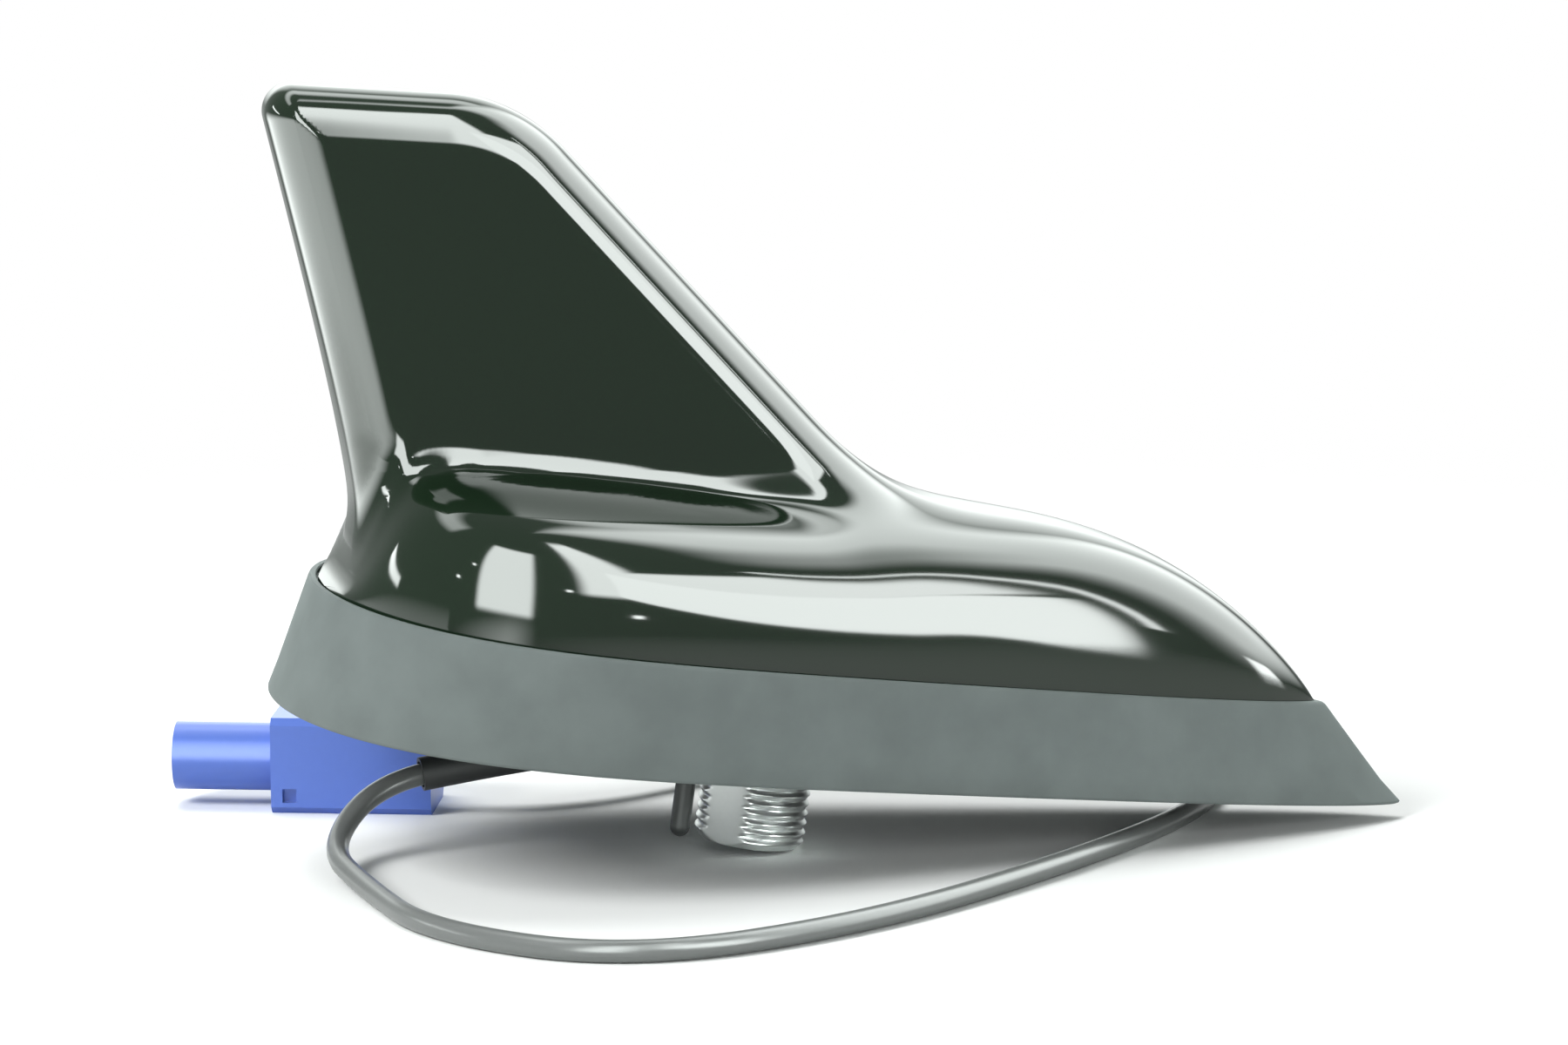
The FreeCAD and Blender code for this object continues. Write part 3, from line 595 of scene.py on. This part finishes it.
class ANTENNA_OT_gasket(bpy.types.Operator):
    """Build the rubber gasket with softened edges"""

    bl_idname = "antenna.gasket"
    bl_label = "Gasket"

    def execute(self, context):
        steps = context.scene.antenna.steps
        s = (1 - np.cos(np.pi * np.arange(steps) / (steps - 1))) / 2
        rings = []
        for inset, lean, lift, share in GASKET_SECTION:
            nose_in = inset * GASKET["nose_in_low" if lean == 0 else "nose_in_high"]
            rear = GASKET["rear"] + lean * GASKET["rear_lean"] + inset
            nose = GASKET["nose"] - lean * GASKET["nose_lean"] - nose_in
            half = GASKET["half"] - lean * GASKET["side_lean"] - inset
            x = rear + s * (nose - rear)
            z = gasket_top(x) * share + lift
            rings.append(np.stack([x, half * plan(s), z], axis=1))
        grid = closed_rings(np.array(rings))
        count = grid.shape[1]
        faces = ring_faces(len(GASKET_SECTION), count, 0, flip=True)
        faces += join_faces(count, 0, (len(GASKET_SECTION) - 1) * count)
        obj = mesh_object("gasket_skirt", grid.reshape(-1, 3), faces)
        sharpen(obj, degrees=38.0)
        set_material(obj, plain_material("gasket"))
        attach(obj, "root")
        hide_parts("gasket")
        return {"FINISHED"}


class StudTree:
    """Geometry node tree of the stud: thread, milled flat, neck and hexagonal head."""

    def __init__(self):
        self.tree = bpy.data.node_groups.new("Stud", "GeometryNodeTree")
        face = self.tree.interface
        for name in STUD_SIZES:
            face.new_socket(name, in_out="INPUT", socket_type="NodeSocketFloat")
        face.new_socket("Steps", in_out="INPUT", socket_type="NodeSocketInt")
        face.new_socket("Levels", in_out="INPUT", socket_type="NodeSocketInt")
        face.new_socket("Material", in_out="INPUT", socket_type="NodeSocketMaterial")
        face.new_socket("Geometry", in_out="OUTPUT", socket_type="NodeSocketGeometry")
        self.given = self.node("NodeGroupInput").outputs
        self.build()

    def node(self, kind, **values):
        """New node; values go to its properties."""
        node = self.tree.nodes.new(kind)
        for name, value in values.items():
            setattr(node, name, value)
        return node

    def feed(self, socket, value):
        """Link a socket of this tree or set its number."""
        feed(self.tree, socket, value)

    def math(self, operation, *values):
        """Math node of this tree."""
        return calc(self.tree, operation, *values)

    def moved(self, geometry, z):
        """Geometry lifted along the stud's axis."""
        place = self.node("ShaderNodeCombineXYZ")
        self.feed(place.inputs["Z"], z)
        move = self.node("GeometryNodeTransform")
        self.feed(move.inputs["Geometry"], geometry)
        self.feed(move.inputs["Translation"], place.outputs[0])
        return move.outputs["Geometry"]

    def disc(self, radius, z, flip):
        """Filled disc that closes an end of the thread."""
        circle = self.node("GeometryNodeMeshCircle", fill_type="NGON")
        self.feed(circle.inputs["Vertices"], self.given["Steps"])
        self.feed(circle.inputs["Radius"], radius)
        mesh = circle.outputs["Mesh"]
        if flip:
            turned = self.node("GeometryNodeFlipFaces")
            self.feed(turned.inputs["Mesh"], mesh)
            mesh = turned.outputs["Mesh"]
        return self.moved(mesh, z)

    def bar(self, sides, radius, low, high):
        """Upright prism between two heights."""
        prism = self.node("GeometryNodeMeshCylinder")
        self.feed(prism.inputs["Vertices"], sides)
        self.feed(prism.inputs["Radius"], radius)
        self.feed(prism.inputs["Depth"], self.math("SUBTRACT", high, low))
        middle = self.math("MULTIPLY", self.math("ADD", low, high), 0.5)
        return self.moved(prism.outputs["Mesh"], middle)

    def thread(self):
        """Grid wrapped round the axis, with the groove, the chamfers and the flat cut into its radius."""
        given = self.given
        grid = self.node("GeometryNodeMeshGrid")
        self.feed(grid.inputs["Size X"], 1.0)
        self.feed(grid.inputs["Size Y"], 1.0)
        self.feed(grid.inputs["Vertices X"], self.math("ADD", given["Steps"], 1.0))
        self.feed(grid.inputs["Vertices Y"], given["Levels"])
        split = self.node("ShaderNodeSeparateXYZ")
        self.feed(split.inputs[0], self.node("GeometryNodeInputPosition").outputs[0])
        turn = self.math("ADD", split.outputs["X"], 0.5)
        share = self.math("ADD", split.outputs["Y"], 0.5)
        angle = self.math("MULTIPLY", turn, 2 * math.pi)
        z = self.math("MULTIPLY_ADD", share, self.math("SUBTRACT", given["Top"], given["Foot"]), given["Foot"])
        wave = self.math("FRACT", self.math("ADD", self.math("DIVIDE", z, given["Pitch"]), turn))
        wave = self.math("ABSOLUTE", self.math("MULTIPLY_ADD", wave, 2.0, -1.0))
        groove = self.node("ShaderNodeClamp")
        self.feed(groove.inputs["Value"], self.math("MULTIPLY_ADD", wave, *GROOVE_RAMP))
        radius = self.math("SUBTRACT", given["Radius"], self.math("MULTIPLY", groove.outputs[0], given["Depth"]))
        from_foot = self.math("SUBTRACT", z, given["Foot"])
        low_end = self.math("ADD", self.math("SUBTRACT", given["Radius"], given["Chamfer"]), from_foot)
        from_top = self.math("SUBTRACT", given["Top"], z)
        high_end = self.math("ADD", self.math("SUBTRACT", given["Radius"], given["Depth"]), from_top)
        radius = self.math("MINIMUM", radius, self.math("MINIMUM", low_end, high_end))
        facing = self.math("COSINE", self.math("SUBTRACT", angle, given["Flat Angle"]))
        limit = self.math("DIVIDE", given["Flat"], self.math("MAXIMUM", facing, LEAST_FACING))
        past_flat = self.math("GREATER_THAN", z, given["Flat Top"])
        radius = self.math("MINIMUM", radius, self.math("ADD", limit, past_flat))
        place = self.node("ShaderNodeCombineXYZ")
        self.feed(place.inputs["X"], self.math("MULTIPLY", radius, self.math("COSINE", angle)))
        self.feed(place.inputs["Y"], self.math("MULTIPLY", radius, self.math("SINE", angle)))
        self.feed(place.inputs["Z"], z)
        wrap = self.node("GeometryNodeSetPosition")
        self.feed(wrap.inputs["Geometry"], grid.outputs["Mesh"])
        self.feed(wrap.inputs["Position"], place.outputs[0])
        return wrap.outputs["Geometry"]

    def build(self):
        """Join the stud's stretches into one geometry with its material."""
        given = self.given
        foot_radius = self.math("SUBTRACT", given["Radius"], given["Chamfer"])
        top_radius = self.math("SUBTRACT", given["Radius"], given["Depth"])
        head_radius = self.math("DIVIDE", given["Head Width"], math.sqrt(3))
        pieces = self.node("GeometryNodeJoinGeometry")
        for geometry in (
            self.thread(),
            self.disc(foot_radius, given["Foot"], True),
            self.disc(top_radius, given["Top"], False),
            self.bar(given["Steps"], given["Neck"], given["Top"], given["Head From"]),
            self.bar(6, head_radius, given["Head From"], given["Head To"]),
        ):
            self.tree.links.new(geometry, pieces.inputs[0])
        merge = self.node("GeometryNodeMergeByDistance")
        self.feed(merge.inputs["Geometry"], pieces.outputs[0])
        self.feed(merge.inputs["Distance"], MERGE_DISTANCE)
        real = self.node("GeometryNodeRealizeInstances")
        self.feed(real.inputs["Geometry"], merge.outputs["Geometry"])
        paint = self.node("GeometryNodeSetMaterial")
        self.feed(paint.inputs["Geometry"], real.outputs["Geometry"])
        self.feed(paint.inputs["Material"], given["Material"])
        self.feed(self.node("NodeGroupOutput").inputs["Geometry"], paint.outputs["Geometry"])


class ANTENNA_OT_stud(bpy.types.Operator):
    """Build the stud with its thread, milled flat, neck and head"""

    bl_idname = "antenna.stud"
    bl_label = "Threaded stud"

    def execute(self, context):
        settings = context.scene.antenna
        tree = StudTree().tree
        obj = bpy.data.objects.new("stud_thread", bpy.data.meshes.new("stud_thread"))
        context.scene.collection.objects.link(obj)
        made = obj.modifiers.new("Stud", "NODES")
        made.node_group = tree
        values = dict(STUD_SIZES)
        values["Pitch"] = settings.thread_pitch
        values["Depth"] = settings.thread_depth
        values["Steps"] = settings.thread_steps
        values["Levels"] = settings.thread_levels
        values["Material"] = plain_material("stud")
        for item in tree.interface.items_tree:
            if item.in_out == "INPUT":
                made[item.identifier] = values[item.name]
        context.view_layer.update()
        mesh = bpy.data.meshes.new_from_object(obj.evaluated_get(context.evaluated_depsgraph_get()))
        obj.modifiers.remove(made)
        obj.data = mesh
        if not mesh.polygons:
            raise RuntimeError("the stud came out empty")
        mesh.shade_smooth()
        sharpen(obj, degrees=30.0)
        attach(obj, "root")
        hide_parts("roof_stud")
        return {"FINISHED"}


class ANTENNA_OT_lead(bpy.types.Operator):
    """Lay the coax lead along its route"""

    bl_idname = "antenna.lead"
    bl_label = "Coax lead"

    def execute(self, context):
        curve = bpy.data.curves.new("coax_lead_run", "CURVE")
        curve.dimensions = "3D"
        curve.bevel_depth = LEAD_RADIUS * MM
        curve.bevel_resolution = LEAD_ROUND
        curve.resolution_u = LEAD_STEPS
        curve.use_fill_caps = True
        spline = curve.splines.new("NURBS")
        spline.points.add(len(LEAD_POINTS) - 1)
        for target, point in zip(spline.points, LEAD_POINTS):
            target.co = (point[0] * MM, point[1] * MM, point[2] * MM, 1.0)
        spline.order_u = 3
        spline.use_endpoint_u = True
        spline.resolution_u = LEAD_STEPS
        obj = bpy.data.objects.new("coax_lead_run", curve)
        context.scene.collection.objects.link(obj)
        set_material(obj, plain_material("lead"))
        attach(obj, "root")
        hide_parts("coax_lead")
        return {"FINISHED"}


class ANTENNA_OT_finishes(bpy.types.Operator):
    """Give the remaining pieces their materials"""

    bl_idname = "antenna.finishes"
    bl_label = "Finishes"

    def execute(self, context):
        made = {}
        for name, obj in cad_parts.items():
            finish = "screw" if "screw" in name else PIECE_FINISHES.get(name)
            if finish is None:
                continue
            if finish not in made:
                made[finish] = plain_material(finish)
            set_material(obj, made[finish])
        return {"FINISHED"}


class ANTENNA_OT_stage(bpy.types.Operator):
    """Set the floor, the lights, the world and the camera"""

    bl_idname = "antenna.stage"
    bl_label = "Stage"

    def execute(self, context):
        scene = context.scene
        floor_disc(scene.antenna.floor_size)
        for lamp in LAMPS:
            soft_light(*lamp)
        white_world(scene)
        place_camera(scene)
        scene.view_settings.view_transform = "Standard"
        return {"FINISHED"}


def floor_disc(size):
    """Pale disc on the surface that the lead lies on, fading into the white around it."""
    count = FLOOR_STEPS
    points = [(0.0, 0.0, table_height(0.0))]
    for i in range(count):
        x = size / MM * math.cos(2 * math.pi * i / count)
        y = size / MM * math.sin(2 * math.pi * i / count)
        points.append((x, y, table_height(x)))
    faces = [(0, 1 + i, 1 + (i + 1) % count) for i in range(count)]
    floor = mesh_object("floor", points, faces, smooth=False)
    mat, tree, shader = new_material("Pale floor")
    nodes = tree.nodes
    shader.inputs["Base Color"].default_value = (0.93, 0.95, 0.94, 1.0)
    shader.inputs["Roughness"].default_value = 0.9
    shader.inputs["Specular IOR Level"].default_value = 0.0
    coords = nodes.new("ShaderNodeTexCoord")
    reach = nodes.new("ShaderNodeVectorMath")
    reach.operation = "LENGTH"
    fade = nodes.new("ShaderNodeMapRange")
    fade.interpolation_type = "SMOOTHSTEP"
    fade.inputs["From Min"].default_value = FLOOR_FADE[0] * size
    fade.inputs["From Max"].default_value = FLOOR_FADE[1] * size
    clear = nodes.new("ShaderNodeBsdfTransparent")
    facing = nodes.new("ShaderNodeNewGeometry")
    mix = nodes.new("ShaderNodeMixShader")
    tree.links.new(coords.outputs["Object"], reach.inputs[0])
    tree.links.new(reach.outputs["Value"], fade.inputs["Value"])
    unseen = calc(tree, "MAXIMUM", facing.outputs["Backfacing"], fade.outputs["Result"])
    tree.links.new(unseen, mix.inputs["Fac"])
    tree.links.new(shader.outputs["BSDF"], mix.inputs[1])
    tree.links.new(clear.outputs["BSDF"], mix.inputs[2])
    tree.links.new(mix.outputs["Shader"], nodes["Material Output"].inputs["Surface"])
    set_material(floor, mat)


def soft_light(name, place, target, width, depth, power):
    """Area light at a place, turned to a target."""
    light = bpy.data.lights.new(name, "AREA")
    light.shape = "RECTANGLE"
    light.size = width
    light.size_y = depth
    light.energy = power
    obj = bpy.data.objects.new(name, light)
    bpy.context.scene.collection.objects.link(obj)
    obj.location = place
    obj.rotation_euler = (Vector(target) - Vector(place)).to_track_quat("-Z", "Y").to_euler()
    obj.visible_glossy = False


def panel_group():
    """Node group: 1 inside a window of directions with soft edges, 0 outside it."""
    group = bpy.data.node_groups.new("Window", "ShaderNodeTree")
    face = group.interface
    for name in ("Turn", "Rise", "Turn From", "Turn To", "Rise From", "Rise To", "Lean", "Soft"):
        face.new_socket(name, in_out="INPUT", socket_type="NodeSocketFloat")
    face.new_socket("Mask", in_out="OUTPUT", socket_type="NodeSocketFloat")
    nodes = group.nodes
    links = group.links
    start = nodes.new("NodeGroupInput")
    end = nodes.new("NodeGroupOutput")
    given = start.outputs
    before = calc(group, "SUBTRACT", given["Turn From"], given["Turn"])
    level = calc(group, "MULTIPLY_ADD", before, given["Lean"], given["Rise"])
    mask = None
    for high, low in ((given["Turn"], given["Turn From"]), (given["Turn To"], given["Turn"]),
                      (level, given["Rise From"]), (given["Rise To"], level)):
        ramp = nodes.new("ShaderNodeMapRange")
        ramp.interpolation_type = "SMOOTHSTEP"
        ramp.inputs["From Min"].default_value = 0.0
        links.new(calc(group, "SUBTRACT", high, low), ramp.inputs["Value"])
        links.new(given["Soft"], ramp.inputs["From Max"])
        within = ramp.outputs["Result"]
        mask = within if mask is None else calc(group, "MULTIPLY", mask, within)
    links.new(mask, end.inputs["Mask"])
    return group


def mirrored_room(tree):
    """Brightness of the studio by direction, as polished pieces mirror it; returns the socket."""
    nodes = tree.nodes
    coords = nodes.new("ShaderNodeTexCoord")
    turned = nodes.new("ShaderNodeVectorRotate")
    turned.rotation_type = "Z_AXIS"
    turned.inputs["Angle"].default_value = math.radians(-ROOM_SEAM)
    split = nodes.new("ShaderNodeSeparateXYZ")
    tree.links.new(coords.outputs["Generated"], turned.inputs["Vector"])
    tree.links.new(turned.outputs["Vector"], split.inputs["Vector"])
    turn = calc(tree, "DEGREES", calc(tree, "ARCTAN2", split.outputs["Y"], split.outputs["X"]))
    rise = calc(tree, "DEGREES", calc(tree, "ARCSINE", split.outputs["Z"]))
    group = panel_group()
    total = ROOM_DARK
    for turn_from, turn_to, rise_from, rise_to, lean, soft, power in ROOM_WINDOWS:
        panel = nodes.new("ShaderNodeGroup")
        panel.node_tree = group
        values = (turn, rise, turn_from - ROOM_SEAM, turn_to - ROOM_SEAM, rise_from, rise_to, lean, soft)
        for socket, value in zip(panel.inputs, values):
            feed(tree, socket, value)
        total = calc(tree, "MAXIMUM", calc(tree, "MULTIPLY", panel.outputs["Mask"], power), total)
    return total


def white_world(scene):
    """White to the camera, an even fill for matt pieces and a studio with windows for polished ones."""
    world = bpy.data.worlds.new("Studio")
    scene.world = world
    world.use_nodes = True
    tree = world.node_tree
    nodes = tree.nodes
    fill = nodes["Background"]
    path = nodes.new("ShaderNodeLightPath")
    mirrored = nodes.new("ShaderNodeMix")
    mirrored.data_type = "FLOAT"
    mirrored.inputs["A"].default_value = ROOM_FILL
    tree.links.new(path.outputs["Is Glossy Ray"], mirrored.inputs["Factor"])
    tree.links.new(mirrored_room(tree), mirrored.inputs["B"])
    white = calc(tree, "MAXIMUM", path.outputs["Is Camera Ray"], path.outputs["Is Transmission Ray"])
    strength = nodes.new("ShaderNodeMix")
    strength.data_type = "FLOAT"
    strength.inputs["B"].default_value = 1.0
    tree.links.new(white, strength.inputs["Factor"])
    tree.links.new(mirrored.outputs["Result"], strength.inputs["A"])
    tree.links.new(strength.outputs["Result"], fill.inputs["Strength"])
    tint = nodes.new("ShaderNodeMix")
    tint.data_type = "RGBA"
    tint.inputs["A"].default_value = ROOM_TINT
    tint.inputs["B"].default_value = (1.0, 1.0, 1.0, 1.0)
    tree.links.new(white, tint.inputs["Factor"])
    tree.links.new(tint.outputs["Result"], fill.inputs["Color"])


def place_camera(scene):
    """Camera at the photograph's place, fitted to the outline."""
    turn = math.radians(VIEW["turn"])
    rise = math.radians(VIEW["rise"])
    roll = math.radians(VIEW["roll"])
    back = Vector((math.sin(turn) * math.cos(rise), -math.cos(turn) * math.cos(rise), math.sin(rise)))
    right = Vector((math.cos(turn), math.sin(turn), 0.0))
    up = back.cross(right)
    place = back * VIEW["distance"] + right * VIEW["right"] + up * VIEW["up"]
    across = right * math.cos(roll) + up * math.sin(roll)
    high = up * math.cos(roll) - right * math.sin(roll)
    camera = bpy.data.cameras.new("Camera")
    camera.sensor_width = SENSOR_WIDTH
    camera.lens = VIEW["lens"]
    camera.clip_start = 0.01
    obj = bpy.data.objects.new("Camera", camera)
    scene.collection.objects.link(obj)
    turned = Matrix((across, high, back)).transposed().to_4x4()
    obj.matrix_world = Matrix.Translation(place * MM) @ turned
    scene.camera = obj


class ANTENNA_PT_panel(bpy.types.Panel):
    """Buttons that build the antenna piece by piece"""

    bl_idname = "ANTENNA_PT_panel"
    bl_label = "Roof antenna"
    bl_space_type = "VIEW_3D"
    bl_region_type = "UI"
    bl_category = "Antenna"

    def draw(self, context):
        settings = context.scene.antenna
        for name in AntennaSettings.__annotations__:
            self.layout.prop(settings, name)
        for operator in OPERATORS:
            self.layout.operator(operator.bl_idname)


OPERATORS = (
    ANTENNA_OT_cover,
    ANTENNA_OT_gasket,
    ANTENNA_OT_stud,
    ANTENNA_OT_lead,
    ANTENNA_OT_finishes,
    ANTENNA_OT_stage,
)


def register():
    bpy.utils.register_class(AntennaSettings)
    bpy.types.Scene.antenna = bpy.props.PointerProperty(type=AntennaSettings)
    for operator in OPERATORS:
        bpy.utils.register_class(operator)
    bpy.utils.register_class(ANTENNA_PT_panel)


def unregister():
    bpy.utils.unregister_class(ANTENNA_PT_panel)
    for operator in reversed(OPERATORS):
        bpy.utils.unregister_class(operator)
    del bpy.types.Scene.antenna
    bpy.utils.unregister_class(AntennaSettings)


def main():
    register()
    bpy.ops.antenna.cover()
    bpy.ops.antenna.gasket()
    bpy.ops.antenna.stud()
    bpy.ops.antenna.lead()
    bpy.ops.antenna.finishes()
    bpy.ops.antenna.stage()


if __name__ == "__main__":
    main()
